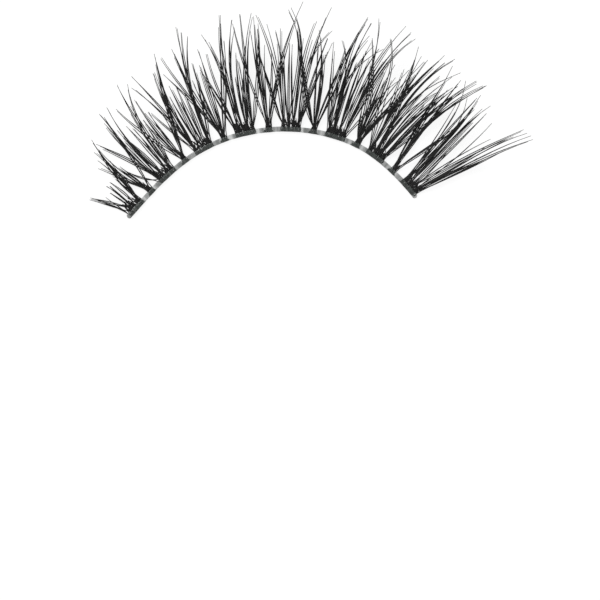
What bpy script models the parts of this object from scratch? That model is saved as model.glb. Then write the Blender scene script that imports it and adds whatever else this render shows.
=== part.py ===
"""A false eyelash strip, lying on its flat side with the lashes curling up.

It is a thin clear band, curved to the edge of an eyelid, with clusters of black lashes set in
pockets along it: dense tufts at an even pitch, and a lighter fan midway between each pair.
The origin is in the middle of the band's underside at the top of its arch. +X runs towards
the outer corner of the eye, +Y out along the lashes there, and +Z up, away from the surface.
"""

import math
from collections import namedtuple

import bmesh
import bpy

MM = 0.001
WELD_GAP = 0.00001 * MM
SHARP_CORNER = math.radians(60.0)

# The band
BAND_WIDTH = 0.52 * MM
BAND_HEIGHT = 0.50 * MM
ARCH_RADIUS = 17.0 * MM
BAND_EDGE = 0.07 * MM
BAND_STEP = 0.8 * MM
END_NUB = 0.30 * MM
END_STEPS = 6

# The clusters along the band
TUFTS = 8
TUFT_PITCH = 4.52 * MM
TUFT_FOOT = 2.10 * MM
FAN_FOOT = 0.95 * MM
FOOT_HEIGHT = 0.26 * MM
FOOT_WALL = 0.09 * MM
FOOT_GAP = 0.04 * MM
FOOT_DEPTH = 0.25 * MM
FOOT_STEPS = 4
NECK_SPACING = 0.50 * MM
ROOT_SPACING = 0.05 * MM
NECKS = 4

# The lashes
LONGEST_REACH = 13.2 * MM
CURL_START = 3.5 * MM
TIP_LIFT = math.radians(60.0)
HAIR_WIDTH = 0.09 * MM
PACKING = 0.62
TIP_WIDTH = 0.05 * MM
ROOT_SHARE = 0.85
ROOT_DEPTH = 0.05 * MM
LEAN_LIFT = 0.80 * MM
LOWEST_LEAN = -0.55
SWEEP = 1.15
TAPER = 1.5
LIFT_FROM = 0.30 * MM
LIFT_FULL = 2.20 * MM
LOCK_STEPS = 5

# The band's arch, from the top of the arch to each corner: each bend's length as a share of the
# band's whole length, and its radius as a share of the arch's general radius.
Bend = namedtuple("Bend", "length radius")
INNER_BENDS = (
    Bend(0.145, 1.06),
    Bend(0.175, 0.92),
    Bend(0.117, 1.47),
    Bend(0.111, 7.06),
)
OUTER_BENDS = (
    Bend(0.183, 1.01),
    Bend(0.117, 0.73),
    Bend(0.152, 1.35),
)

# One row for each lock of hairs, in order along the band, so that the locks of a cluster fan out
# and never meet past their roots. neck is the neck it grows from, 1 nearest the inner corner. tip
# is where its tip lies along the band from the cluster's middle, as a share of the tufts' pitch.
# reach is how far out its tip lies, as a share of the longest reach. hairs is how many it gathers.
Lock = namedtuple("Lock", "neck tip reach hairs")
TUFT_LOCKS = (
    (
        Lock(1, -0.520, 0.325, 4),
        Lock(1, -0.270, 0.230, 3),
        Lock(2, -0.140, 0.230, 3),
        Lock(2, -0.090, 0.295, 3),
        Lock(3, 0.020, 0.285, 3),
        Lock(4, 0.150, 0.270, 3),
        Lock(4, 0.210, 0.460, 3),
        Lock(4, 0.290, 0.525, 3),
        Lock(4, 0.445, 0.610, 4),
    ),
    (
        Lock(1, -0.570, 0.550, 4),
        Lock(1, -0.360, 0.470, 3),
        Lock(1, -0.205, 0.610, 3),
        Lock(2, -0.125, 0.530, 4),
        Lock(2, -0.050, 0.700, 3),
        Lock(2, 0.030, 0.720, 3),
        Lock(3, 0.090, 0.470, 4),
        Lock(4, 0.210, 0.450, 3),
        Lock(4, 0.385, 0.785, 5),
        Lock(4, 0.490, 0.730, 3),
    ),
    (
        Lock(1, -0.490, 0.460, 3),
        Lock(1, -0.390, 0.770, 3),
        Lock(1, -0.200, 0.710, 3),
        Lock(2, -0.100, 0.500, 4),
        Lock(2, 0.020, 0.815, 4),
        Lock(3, 0.085, 0.540, 4),
        Lock(3, 0.140, 0.460, 3),
        Lock(4, 0.250, 0.830, 4),
        Lock(4, 0.435, 0.930, 3),
        Lock(4, 0.540, 0.865, 3),
        Lock(4, 0.500, 0.600, 3),
    ),
    (
        Lock(1, -0.475, 0.565, 5),
        Lock(1, -0.310, 0.805, 3),
        Lock(1, -0.215, 0.740, 3),
        Lock(2, -0.050, 0.935, 4),
        Lock(2, 0.030, 0.785, 3),
        Lock(3, 0.110, 0.640, 4),
        Lock(3, 0.180, 0.905, 3),
        Lock(4, 0.275, 0.930, 3),
        Lock(4, 0.440, 0.900, 6),
        Lock(4, 0.510, 0.780, 5),
    ),
    (
        Lock(1, -0.540, 0.600, 4),
        Lock(1, -0.555, 0.910, 5),
        Lock(1, -0.405, 0.810, 3),
        Lock(1, -0.260, 0.720, 4),
        Lock(2, -0.130, 0.925, 5),
        Lock(3, -0.010, 0.880, 5),
        Lock(3, 0.130, 0.720, 4),
        Lock(4, 0.300, 0.860, 4),
        Lock(4, 0.465, 0.980, 4),
        Lock(4, 0.540, 0.805, 3),
        Lock(4, 0.575, 0.715, 4),
    ),
    (
        Lock(1, -0.430, 0.715, 5),
        Lock(1, -0.305, 0.735, 3),
        Lock(1, -0.170, 0.900, 4),
        Lock(2, -0.070, 0.620, 5),
        Lock(2, 0.020, 0.960, 4),
        Lock(3, 0.090, 0.815, 5),
        Lock(3, 0.170, 0.660, 3),
        Lock(4, 0.250, 0.965, 3),
        Lock(4, 0.435, 1.000, 4),
        Lock(4, 0.580, 0.960, 4),
        Lock(4, 0.460, 0.500, 3),
    ),
    (
        Lock(1, -0.500, 0.560, 4),
        Lock(1, -0.370, 0.950, 5),
        Lock(1, -0.240, 0.840, 3),
        Lock(2, -0.060, 0.925, 4),
        Lock(2, 0.060, 1.000, 4),
        Lock(3, 0.120, 0.620, 3),
        Lock(3, 0.220, 0.940, 3),
        Lock(4, 0.300, 0.720, 4),
        Lock(4, 0.530, 0.980, 4),
        Lock(4, 0.655, 0.980, 5),
    ),
    (
        Lock(1, -0.690, 0.905, 3),
        Lock(1, -0.510, 0.700, 4),
        Lock(1, -0.360, 0.880, 7),
        Lock(2, -0.235, 0.800, 5),
        Lock(2, -0.120, 0.890, 4),
        Lock(3, -0.050, 0.820, 5),
        Lock(4, 0.110, 0.815, 3),
        Lock(4, 0.295, 0.730, 3),
        Lock(4, 0.445, 0.980, 4),
        Lock(4, 0.545, 0.975, 6),
        Lock(4, 0.635, 0.955, 5),
        Lock(4, 0.560, 0.700, 4),
    ),
)
FAN_LOCKS = (
    (
        Lock(1, -0.415, 0.425, 3),
        Lock(1, -0.270, 0.360, 3),
        Lock(1, -0.080, 0.600, 4),
        Lock(1, 0.050, 0.320, 3),
        Lock(1, 0.270, 0.615, 3),
        Lock(1, 0.390, 0.700, 3),
    ),
    (
        Lock(1, -0.390, 0.655, 3),
        Lock(1, -0.220, 0.450, 3),
        Lock(1, -0.050, 0.610, 5),
        Lock(1, 0.100, 0.490, 3),
        Lock(1, 0.360, 0.710, 3),
        Lock(1, 0.530, 0.820, 4),
    ),
    (
        Lock(1, -0.525, 0.660, 3),
        Lock(1, -0.435, 0.800, 3),
        Lock(1, -0.170, 0.600, 4),
        Lock(1, 0.030, 0.630, 4),
        Lock(1, 0.120, 0.730, 3),
        Lock(1, 0.505, 0.930, 4),
    ),
    (
        Lock(1, -0.380, 0.845, 3),
        Lock(1, -0.160, 0.765, 3),
        Lock(1, -0.030, 0.915, 4),
        Lock(1, 0.090, 0.700, 3),
        Lock(1, 0.230, 0.550, 3),
        Lock(1, 0.595, 0.980, 4),
    ),
    (
        Lock(1, -0.450, 0.560, 4),
        Lock(1, -0.560, 0.925, 5),
        Lock(1, -0.150, 0.775, 4),
        Lock(1, -0.020, 0.640, 4),
        Lock(1, 0.310, 0.720, 3),
        Lock(1, 0.460, 0.900, 4),
    ),
    (
        Lock(1, -0.480, 0.820, 6),
        Lock(1, -0.250, 0.895, 3),
        Lock(1, -0.090, 0.660, 4),
        Lock(1, 0.210, 0.700, 3),
        Lock(1, 0.465, 0.930, 4),
        Lock(1, 0.360, 0.550, 4),
    ),
    (
        Lock(1, -0.330, 0.600, 4),
        Lock(1, -0.410, 0.925, 5),
        Lock(1, -0.180, 0.860, 5),
        Lock(1, -0.030, 0.620, 4),
        Lock(1, 0.120, 0.900, 3),
        Lock(1, 0.330, 0.780, 3),
    ),
)

# Sizes that follow from those above
BAND_LENGTH = (TUFTS - 1) * TUFT_PITCH + TUFT_FOOT + 2 * END_NUB
FOOT_MIDDLE = BAND_HEIGHT / 2
FOOT_BACK = -BAND_WIDTH / 2 + FOOT_WALL + FOOT_GAP
CURL_RADIUS = (LONGEST_REACH - CURL_START) / math.sin(TIP_LIFT)


def along_bends(bends, run):
    """Where a run along these bends ends, as a point and a heading, both turning rightwards."""
    x, y, heading = 0.0, 0.0, 0.0
    for number, bend in enumerate(bends, 1):
        radius = bend.radius * ARCH_RADIUS
        length = run
        if number < len(bends):
            length = min(bend.length * BAND_LENGTH, run)
        turn = length / radius
        x += radius * (math.sin(heading + turn) - math.sin(heading))
        y += radius * (math.cos(heading + turn) - math.cos(heading))
        heading += turn
        run -= length
        if run <= 0:
            break
    return x, y, heading


def on_strip(along, out):
    """The point this far along the band from the top of its arch, and this far out from it."""
    if along >= 0:
        x, y, heading = along_bends(OUTER_BENDS, along)
        return x + out * math.sin(heading), y + out * math.cos(heading)
    x, y, heading = along_bends(INNER_BENDS, -along)
    return -x - out * math.sin(heading), y + out * math.cos(heading)


INNER_END = -sum(bend.length for bend in INNER_BENDS) * BAND_LENGTH
OUTER_END = INNER_END + BAND_LENGTH
FIRST_TUFT = INNER_END + END_NUB + TUFT_FOOT / 2
FIRST_FAN = FIRST_TUFT + TUFT_PITCH / 2


def clear_scene():
    for obj in list(bpy.data.objects):
        bpy.data.objects.remove(obj, do_unlink=True)


def new_collection(name):
    collection = bpy.data.collections.new(name)
    bpy.context.scene.collection.children.link(collection)
    return collection


def new_material(name, color, roughness):
    material = bpy.data.materials.new(name)
    material.use_nodes = True
    shader = material.node_tree.nodes["Principled BSDF"]
    shader.inputs["Base Color"].default_value = (*color, 1.0)
    shader.inputs["Roughness"].default_value = roughness
    shader.inputs["Metallic"].default_value = 0.0
    material.diffuse_color = (*color, 1.0)
    return material


def evaluated_mesh(obj):
    """The object's shape as a plain mesh, with a curve's caps joined to its sides."""
    bpy.context.view_layer.update()
    graph = bpy.context.evaluated_depsgraph_get()
    mesh = bpy.data.meshes.new_from_object(obj.evaluated_get(graph))
    work = bmesh.new()
    work.from_mesh(mesh)
    bmesh.ops.remove_doubles(work, verts=work.verts, dist=WELD_GAP)
    bmesh.ops.recalc_face_normals(work, faces=work.faces)
    work.to_mesh(mesh)
    work.free()
    return mesh


def curve_to_mesh(curve_object):
    """Replaces a curve object by a mesh object of the same name, place and collection."""
    mesh = evaluated_mesh(curve_object)
    name = curve_object.name
    collection = curve_object.users_collection[0]
    matrix = curve_object.matrix_world.copy()
    bpy.data.objects.remove(curve_object, do_unlink=True)
    obj = bpy.data.objects.new(name, mesh)
    obj.matrix_world = matrix
    mesh.name = name
    collection.objects.link(obj)
    return obj


def flat_piece(name, outline, low, high, collection):
    """A flat outline in the XY plane, as a closed solid between two heights."""
    curve = bpy.data.curves.new(name, "CURVE")
    curve.dimensions = "2D"
    curve.fill_mode = "BOTH"
    curve.extrude = (high - low) / 2
    spline = curve.splines.new("POLY")
    spline.points.add(len(outline) - 1)
    for point, (x, y) in zip(spline.points, outline):
        point.co = (x, y, 0.0, 1.0)
    spline.use_cyclic_u = True
    obj = bpy.data.objects.new(name, curve)
    obj.location.z = (low + high) / 2
    collection.objects.link(obj)
    return curve_to_mesh(obj)


def run_outline(start, end, inside, outside, steps):
    """An outline that follows the band's arch between two places and two offsets from it."""
    places = [start + (end - start) * n / steps for n in range(steps + 1)]
    inner = [on_strip(place, inside) for place in places]
    outer = [on_strip(place, outside) for place in reversed(places)]
    return inner + outer


def band_outline():
    """The band from above: two long edges, and a half-round nub at each end."""
    half = BAND_WIDTH / 2
    start, end = INNER_END + half, OUTER_END - half
    steps = round((end - start) / BAND_STEP)
    outline = run_outline(start, end, -half, half, steps)
    nub = []
    for n in range(1, END_STEPS):
        angle = -math.pi / 2 + math.pi * n / END_STEPS
        nub.append((half * math.cos(angle), half * math.sin(angle)))
    outer_nub = [on_strip(end + forward, side) for forward, side in nub]
    inner_nub = [on_strip(start - forward, side) for forward, side in reversed(nub)]
    middle = steps + 1
    return outline[:middle] + outer_nub + outline[middle:] + inner_nub


def foot_span(middle, foot):
    return middle - foot / 2, middle + foot / 2


def make_band(pockets, collection, material):
    band = flat_piece("clear_band", band_outline(), 0.0, BAND_HEIGHT, collection)
    soft_edge = band.modifiers.new("soft_edge", "BEVEL")
    soft_edge.width = BAND_EDGE
    soft_edge.segments = 2
    soft_edge.limit_method = "ANGLE"
    soft_edge.angle_limit = SHARP_CORNER
    cut = band.modifiers.new("pockets", "BOOLEAN")
    cut.operation = "DIFFERENCE"
    cut.operand_type = "COLLECTION"
    cut.collection = pockets
    band.data.materials.append(material)
    return band


def make_pocket(name, middle, foot, collection):
    """The cutter for one cluster's pocket, open on the band's outer side."""
    start, end = foot_span(middle, foot + 2 * FOOT_GAP)
    outline = run_outline(start, end, FOOT_BACK - FOOT_GAP, BAND_WIDTH, FOOT_STEPS)
    low = FOOT_MIDDLE - FOOT_HEIGHT / 2 - FOOT_GAP
    high = FOOT_MIDDLE + FOOT_HEIGHT / 2 + FOOT_GAP
    pocket = flat_piece(name, outline, low, high, collection)
    pocket.hide_render = True
    pocket.display_type = "WIRE"
    return pocket


def smooth(share):
    share = min(max(share, 0.0), 1.0)
    return share * share * (3 - 2 * share)


def curl_height(out):
    """How high the lashes' common curl stands at this distance from the band."""
    past = max(out - CURL_START, 0.0)
    return CURL_RADIUS - math.sqrt(CURL_RADIUS**2 - past**2)


def lock_radius(lock, share):
    """A lock is slim in its pocket, full just outside it, and fine at its tip."""
    full = HAIR_WIDTH * PACKING * math.sqrt(lock.hairs)
    root = ROOT_SHARE + (1 - ROOT_SHARE) * smooth(share * lock.reach * LONGEST_REACH / LIFT_FULL)
    return max(full * root * (1 - share**TAPER), TIP_WIDTH / 2)


def lock_roots(locks, necks):
    """Where each lock leaves the foot: at its neck, beside the other locks of that neck."""
    for neck in range(1, necks + 1):
        grouped = [lock for lock in locks if lock.neck == neck]
        place = (neck - (necks + 1) / 2) * NECK_SPACING
        for number, lock in enumerate(grouped):
            yield lock, place + (number - (len(grouped) - 1) / 2) * ROOT_SPACING


def lock_places(reach):
    """How far out each section of a lock lies. The first ones are the same for all locks."""
    yield -ROOT_DEPTH
    yield LIFT_FROM
    for step in range(LOCK_STEPS + 1):
        yield LIFT_FULL + (reach - LIFT_FULL) * step / LOCK_STEPS


def lock_points(lock, root):
    """Rows of along, out, height and radius, from the lock's root to its tip. Where the locks of
    two clusters cross, the one from the inner side leans outwards more, and so rides higher."""
    lean = lock.tip * TUFT_PITCH - root
    reach = lock.reach * LONGEST_REACH
    lift = max(lean / TUFT_PITCH - LOWEST_LEAN, 0.0) * LEAN_LIFT
    for out in lock_places(reach):
        share = max(out / reach, 0.0)
        radius = lock_radius(lock, share)
        free = smooth((out - LIFT_FROM) / (LIFT_FULL - LIFT_FROM))
        rest = curl_height(out) + lift + radius
        height = FOOT_MIDDLE + (rest - FOOT_MIDDLE) * free
        yield root + lean * share**SWEEP, out, height, radius


def make_lock(name, middle, lock, root, collection):
    curve = bpy.data.curves.new(name, "CURVE")
    curve.dimensions = "3D"
    curve.bevel_depth = 1.0
    curve.bevel_resolution = 0
    curve.use_fill_caps = True
    spline = curve.splines.new("POLY")
    rows = list(lock_points(lock, root))
    spline.points.add(len(rows) - 1)
    for point, (along, out, height, radius) in zip(spline.points, rows):
        point.co = (*on_strip(middle + along, out), height, 1.0)
        point.radius = radius
    obj = bpy.data.objects.new(name, curve)
    collection.objects.link(obj)
    return curve_to_mesh(obj)


def make_cluster(name, middle, foot, necks, locks, collection, material):
    """A foot bar that lies in its pocket, and the locks that grow from it, joined in one body."""
    stock = new_collection(name + "_locks")
    for number, (lock, root) in enumerate(lock_roots(locks, necks), 1):
        make_lock(f"{name}_lock_{number}", middle, lock, root, stock)
    start, end = foot_span(middle, foot)
    outline = run_outline(start, end, FOOT_BACK, FOOT_BACK + FOOT_DEPTH, FOOT_STEPS)
    low, high = FOOT_MIDDLE - FOOT_HEIGHT / 2, FOOT_MIDDLE + FOOT_HEIGHT / 2
    cluster = flat_piece(name, outline, low, high, collection)
    union = cluster.modifiers.new("locks", "BOOLEAN")
    union.operation = "UNION"
    union.operand_type = "COLLECTION"
    union.collection = stock
    joined = evaluated_mesh(cluster)
    cluster.modifiers.clear()
    cluster.data = joined
    joined.materials.clear()
    joined.materials.append(material)
    joined.name = name
    for lock in list(stock.objects):
        bpy.data.objects.remove(lock, do_unlink=True)
    bpy.data.collections.remove(stock)
    return cluster


def main():
    clear_scene()
    strip = new_collection("false_eyelash_strip")
    pockets = new_collection("pocket_cutters")
    clear_plastic = new_material("clear_plastic", (0.72, 0.75, 0.74), 0.18)
    black_fibre = new_material("black_fibre", (0.010, 0.010, 0.012), 0.42)
    clusters = []
    for number, locks in enumerate(TUFT_LOCKS, 1):
        middle = FIRST_TUFT + (number - 1) * TUFT_PITCH
        clusters.append((f"lash_tuft_{number}", middle, TUFT_FOOT, NECKS, locks))
    for number, locks in enumerate(FAN_LOCKS, 1):
        middle = FIRST_FAN + (number - 1) * TUFT_PITCH
        clusters.append((f"lash_fan_{number}", middle, FAN_FOOT, 1, locks))
    for name, middle, foot, necks, locks in clusters:
        make_pocket(f"{name}_pocket", middle, foot, pockets)
        make_cluster(name, middle, foot, necks, locks, strip, black_fibre)
    make_band(pockets, strip, clear_plastic)


main()
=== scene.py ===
# %% [markdown]
# # A false eyelash strip
#
# A strip lash is a thin clear band with black fibres set in it. Between thumb and finger it looks
# like a soft fringe, but its makers build it in clusters: wide tufts at an even pitch, a light fan
# between each two, and every cluster made of pointed spikes of a few hairs each. This lesson
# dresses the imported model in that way: the band and the clusters stay where they are, and each
# plain lock becomes the real bundle of fibres.

import math

import bpy
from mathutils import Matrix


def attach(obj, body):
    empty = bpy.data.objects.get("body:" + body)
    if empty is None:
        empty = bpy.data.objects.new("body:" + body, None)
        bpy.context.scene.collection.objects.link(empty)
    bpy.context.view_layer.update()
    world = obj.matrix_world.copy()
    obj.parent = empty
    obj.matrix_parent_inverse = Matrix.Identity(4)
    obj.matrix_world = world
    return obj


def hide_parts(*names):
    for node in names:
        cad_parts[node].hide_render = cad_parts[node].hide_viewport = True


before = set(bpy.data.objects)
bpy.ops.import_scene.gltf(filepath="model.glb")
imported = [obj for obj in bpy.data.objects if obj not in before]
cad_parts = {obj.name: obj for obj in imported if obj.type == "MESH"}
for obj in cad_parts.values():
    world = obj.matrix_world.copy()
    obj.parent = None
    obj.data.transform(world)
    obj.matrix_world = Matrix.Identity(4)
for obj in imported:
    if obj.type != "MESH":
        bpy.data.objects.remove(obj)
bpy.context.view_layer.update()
MM = 0.001

# %% [markdown]
# ## The camera
#
# The strip lies on a white surface and is seen from straight above. A long lens from far away
# keeps the lifted tips from swelling towards the camera, as a product photographer would want.
# The picture is about 60 mm across, with the strip in its upper half, so the camera stands over the
# picture's middle and not over the strip's.

# %% Camera
PICTURE_WIDTH = 60.25 * MM
PICTURE_MIDDLE = (1.55 * MM, -17.16 * MM)
CAMERA_HEIGHT = 0.90
SENSOR_WIDTH = 36.0
NEAREST_SEEN = 0.01
FARTHEST_SEEN = 10.0


def add_camera():
    data = bpy.data.cameras.new("camera")
    data.sensor_width = SENSOR_WIDTH
    data.lens = SENSOR_WIDTH * CAMERA_HEIGHT / PICTURE_WIDTH
    data.clip_start = NEAREST_SEEN
    data.clip_end = FARTHEST_SEEN
    camera = bpy.data.objects.new("camera", data)
    camera.location = (*PICTURE_MIDDLE, CAMERA_HEIGHT)
    bpy.context.scene.collection.objects.link(camera)
    bpy.context.scene.camera = camera
    return camera


camera = add_camera()
print("lens in mm:", round(camera.data.lens))

# %% [markdown]
# ## Light and floor
#
# The picture is bright and nearly without shadows. A white world lights the strip from every
# side, as a light tent does, and one large soft lamp gives the fibres and the band their glints.
# The Standard view keeps white as white, where the default one would turn the floor grey.

# %% Light and floor
FLOOR_REACH = 1.5
FLOOR_COLOUR = (0.16, 0.16, 0.16)
FLOOR_GLOW = 0.82
FLOOR_ROUGHNESS = 0.9
WORLD_STRENGTH = 1.0
LAMP_WIDTH = 0.5
LAMP_POWER = 4.0
LAMP_PLACE = (-0.35, 0.45, 0.70)


def feed(tree, socket, value):
    """Gives a socket its value: a number, or a link where the value is a node's output."""
    if isinstance(value, bpy.types.NodeSocket):
        tree.links.new(value, socket)
    else:
        socket.default_value = value


def plain_material(name, colour, roughness):
    """A new material, with its node tree and its Principled shader."""
    material = bpy.data.materials.new(name)
    material.use_nodes = True
    shader = material.node_tree.nodes["Principled BSDF"]
    shader.inputs["Base Color"].default_value = (*colour, 1.0)
    shader.inputs["Roughness"].default_value = roughness
    return material, material.node_tree, shader


def add_floor():
    material, _, shader = plain_material("white_paper", FLOOR_COLOUR, FLOOR_ROUGHNESS)
    shader.inputs["Emission Color"].default_value = (1.0, 1.0, 1.0, 1.0)
    shader.inputs["Emission Strength"].default_value = FLOOR_GLOW
    bpy.ops.mesh.primitive_plane_add(size=2 * FLOOR_REACH)
    floor = bpy.context.object
    floor.name = "floor"
    floor.data.materials.append(material)
    return floor


def add_world():
    world = bpy.data.worlds.new("light_tent")
    world.use_nodes = True
    background = world.node_tree.nodes["Background"]
    background.inputs["Color"].default_value = (1.0, 1.0, 1.0, 1.0)
    background.inputs["Strength"].default_value = WORLD_STRENGTH
    bpy.context.scene.world = world


def add_lamp():
    data = bpy.data.lights.new("soft_lamp", "AREA")
    data.size = LAMP_WIDTH
    data.energy = LAMP_POWER
    lamp = bpy.data.objects.new("soft_lamp", data)
    lamp.location = LAMP_PLACE
    # A lamp shines along its own -Z, so its Z is turned away from the strip at the origin.
    lamp.rotation_euler = lamp.location.to_track_quat("Z", "Y").to_euler()
    bpy.context.scene.collection.objects.link(lamp)


add_floor()
add_world()
add_lamp()
bpy.context.scene.view_settings.view_transform = "Standard"
print("stage set")

# %% [markdown]
# ## The arch that everything follows
#
# The band is bent to the edge of an eyelid: tight over the outer third and nearly straight at
# the inner corner. In a drawing office such a line is a row of tangent arcs, each with a length
# and a radius. The same arcs give a guide curve here, run on a little past both ends. Geometry
# Nodes can then ask that curve for the place at any length, so a lash needs only two numbers,
# how far along the band and how far out from it, and bends round the eye with the band.

# %% Arch
TUFTS = 8
TUFT_PITCH = 4.52 * MM
TUFT_FOOT = 2.10 * MM
FAN_FOOT = 0.95 * MM
END_NUB = 0.30 * MM
BAND_LENGTH = (TUFTS - 1) * TUFT_PITCH + TUFT_FOOT + 2 * END_NUB
ARCH_RADIUS = 17.0 * MM
GUIDE_EXTRA = 5.0 * MM
GUIDE_STEP = 0.05 * MM

# Each bend's length as a share of the band's length, and its radius as a share of the arch's,
# from the top of the arch to each corner.
INNER_BENDS = ((0.145, 1.06), (0.175, 0.92), (0.117, 1.47), (0.111, 7.06))
OUTER_BENDS = ((0.183, 1.01), (0.117, 0.73), (0.152, 1.35))


def along_bends(bends, run):
    """Where a run along these bends ends, from the top of the arch, turning rightwards."""
    x, y, heading = 0.0, 0.0, 0.0
    for number, (length_share, radius_share) in enumerate(bends, 1):
        radius = radius_share * ARCH_RADIUS
        length = run
        if number < len(bends):
            length = min(length_share * BAND_LENGTH, run)
        turn = length / radius
        x += radius * (math.sin(heading + turn) - math.sin(heading))
        y += radius * (math.cos(heading + turn) - math.cos(heading))
        heading += turn
        run -= length
        if run <= 0:
            break
    return x, y


def on_arch(along):
    """The point this far along the band from the top of its arch."""
    if along >= 0:
        return along_bends(OUTER_BENDS, along)
    x, y = along_bends(INNER_BENDS, -along)
    return -x, y


INNER_END = -sum(length for length, radius in INNER_BENDS) * BAND_LENGTH
OUTER_END = INNER_END + BAND_LENGTH
FIRST_TUFT = INNER_END + END_NUB + TUFT_FOOT / 2
GUIDE_START = INNER_END - GUIDE_EXTRA
GUIDE_END = OUTER_END + GUIDE_EXTRA


def add_guide():
    steps = round((GUIDE_END - GUIDE_START) / GUIDE_STEP)
    curve = bpy.data.curves.new("arch_guide", "CURVE")
    curve.dimensions = "3D"
    spline = curve.splines.new("POLY")
    spline.points.add(steps)
    for number, point in enumerate(spline.points):
        along = GUIDE_START + (GUIDE_END - GUIDE_START) * number / steps
        point.co = (*on_arch(along), 0.0, 1.0)
    guide = bpy.data.objects.new("arch_guide", curve)
    bpy.context.scene.collection.objects.link(guide)
    return guide


guide = add_guide()
print("band length in mm:", round(BAND_LENGTH / MM, 2), "guide points:", len(guide.data.splines[0].points))

# %% [markdown]
# ## Black fibre
#
# The hairs are drawn polyester, nearly black with a faint silky gleam along their length. Each
# hair carries its own shade, so a bundle doesn't look poured from one piece, and a long fine
# noise breaks the gleam. The gloss is held low on its own socket, because a white tent would
# otherwise lift thin black hairs to grey.

# %% Black fibre
FIBRE_DARK = (0.0035, 0.0035, 0.0040)
FIBRE_LIGHT = (0.016, 0.0155, 0.0150)
FIBRE_GLOSS = 0.22
FIBRE_STREAK = 900.0
FIBRE_DETAIL = 2.0
FIBRE_SMOOTH = 0.34
FIBRE_ROUGH = 0.52
DARK_UNTIL = 0.2
ROUGH_FROM = 0.8
LIGHT_FROM = 0.9


def read_attribute(tree, name):
    """An Attribute node's number in a material."""
    node = tree.nodes.new("ShaderNodeAttribute")
    node.attribute_name = name
    return node.outputs["Fac"]


def object_noise(tree, scale, detail):
    """A noise over the piece's own coordinates, as a number from 0 to 1."""
    place = tree.nodes.new("ShaderNodeTexCoord")
    noise = tree.nodes.new("ShaderNodeTexNoise")
    noise.inputs["Scale"].default_value = scale
    noise.inputs["Detail"].default_value = detail
    tree.links.new(place.outputs["Object"], noise.inputs["Vector"])
    return noise.outputs["Fac"]


def colour_ramp(tree, value, stops):
    """A Color Ramp on a value, with stops of (place, colour)."""
    node = tree.nodes.new("ShaderNodeValToRGB")
    ramp = node.color_ramp
    while len(ramp.elements) < len(stops):
        ramp.elements.new(1.0)
    for element, (place, colour) in zip(ramp.elements, stops):
        element.position = place
        element.color = (*colour, 1.0)
    feed(tree, node.inputs["Fac"], value)
    return node.outputs["Color"]


def maths(tree, operation, *values):
    """A Math node on numbers or other nodes' outputs."""
    node = tree.nodes.new("ShaderNodeMath")
    node.operation = operation
    for socket, value in zip(node.inputs, values):
        feed(tree, socket, value)
    return node.outputs["Value"]


def ease(tree, value, start, end, low, high):
    """A smooth step of a value: low before start, high after end."""
    node = tree.nodes.new("ShaderNodeMapRange")
    node.interpolation_type = "SMOOTHSTEP"
    feed(tree, node.inputs["Value"], value)
    feed(tree, node.inputs["From Min"], start)
    feed(tree, node.inputs["From Max"], end)
    feed(tree, node.inputs["To Min"], low)
    feed(tree, node.inputs["To Max"], high)
    return node.outputs["Result"]


def make_fibre():
    material, tree, shader = plain_material("black_fibre", FIBRE_DARK, FIBRE_SMOOTH)
    streak = object_noise(tree, FIBRE_STREAK, FIBRE_DETAIL)
    shade = maths(tree, "MULTIPLY", maths(tree, "ADD", read_attribute(tree, "shade"), streak), 0.5)
    colour = colour_ramp(tree, shade, [(DARK_UNTIL, FIBRE_DARK), (LIGHT_FROM, FIBRE_LIGHT)])
    tree.links.new(colour, shader.inputs["Base Color"])
    roughness = ease(tree, shade, DARK_UNTIL, ROUGH_FROM, FIBRE_SMOOTH, FIBRE_ROUGH)
    tree.links.new(roughness, shader.inputs["Roughness"])
    shader.inputs["Specular IOR Level"].default_value = FIBRE_GLOSS
    return material


fibre = make_fibre()
print("material:", fibre.name)

# %% [markdown]
# ## A tree that grows lashes
#
# A particle system could make hair, but it scatters strands and gives no hand on where a spike
# ends. Modelled curves would, at a point list for every hair. This tree stands between: each
# vertex of a small mesh is one spike, and its attributes say where the spike starts and ends,
# how it bows and how many hairs it gathers. The tree copies the vertex once for each hair, gives
# the copies small differences, puts a straight line on each and bends all lines at once.

# %% Tree helpers
CHART_COLUMNS = ("root", "tip", "start", "reach", "bow", "hook", "lie")


def numbers_in(tree, name, default):
    """A float input of the tree."""
    socket = tree.interface.new_socket(name, in_out="INPUT", socket_type="NodeSocketFloat")
    socket.default_value = default
    return socket


def attribute(tree, name, kind="FLOAT"):
    node = tree.nodes.new("GeometryNodeInputNamedAttribute")
    node.data_type = kind
    node.inputs["Name"].default_value = name
    return node.outputs["Attribute"]


def store(tree, geometry, name, value):
    """Keeps a value on each point of the geometry under a name."""
    node = tree.nodes.new("GeometryNodeStoreNamedAttribute")
    node.inputs["Name"].default_value = name
    feed(tree, node.inputs["Geometry"], geometry)
    feed(tree, node.inputs["Value"], value)
    return node.outputs["Geometry"]


def chance(tree, low, high, seed, stream):
    """A random number for each element. Each stream gives its own row of numbers."""
    node = tree.nodes.new("FunctionNodeRandomValue")
    node.data_type = "FLOAT"
    # The node keeps a Min and a Max for each type of data, and a number's are the third and fourth.
    feed(tree, node.inputs[2], low)
    feed(tree, node.inputs[3], high)
    feed(tree, node.inputs["Seed"], maths(tree, "ADD", seed, float(stream)))
    return node.outputs[1]


def vector_of(tree, x, y, z):
    node = tree.nodes.new("ShaderNodeCombineXYZ")
    for socket, value in zip(node.inputs, (x, y, z)):
        feed(tree, socket, value)
    return node.outputs["Vector"]


def parts_of(tree, vector):
    node = tree.nodes.new("ShaderNodeSeparateXYZ")
    feed(tree, node.inputs[0], vector)
    return node.outputs["X"], node.outputs["Y"], node.outputs["Z"]


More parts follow.
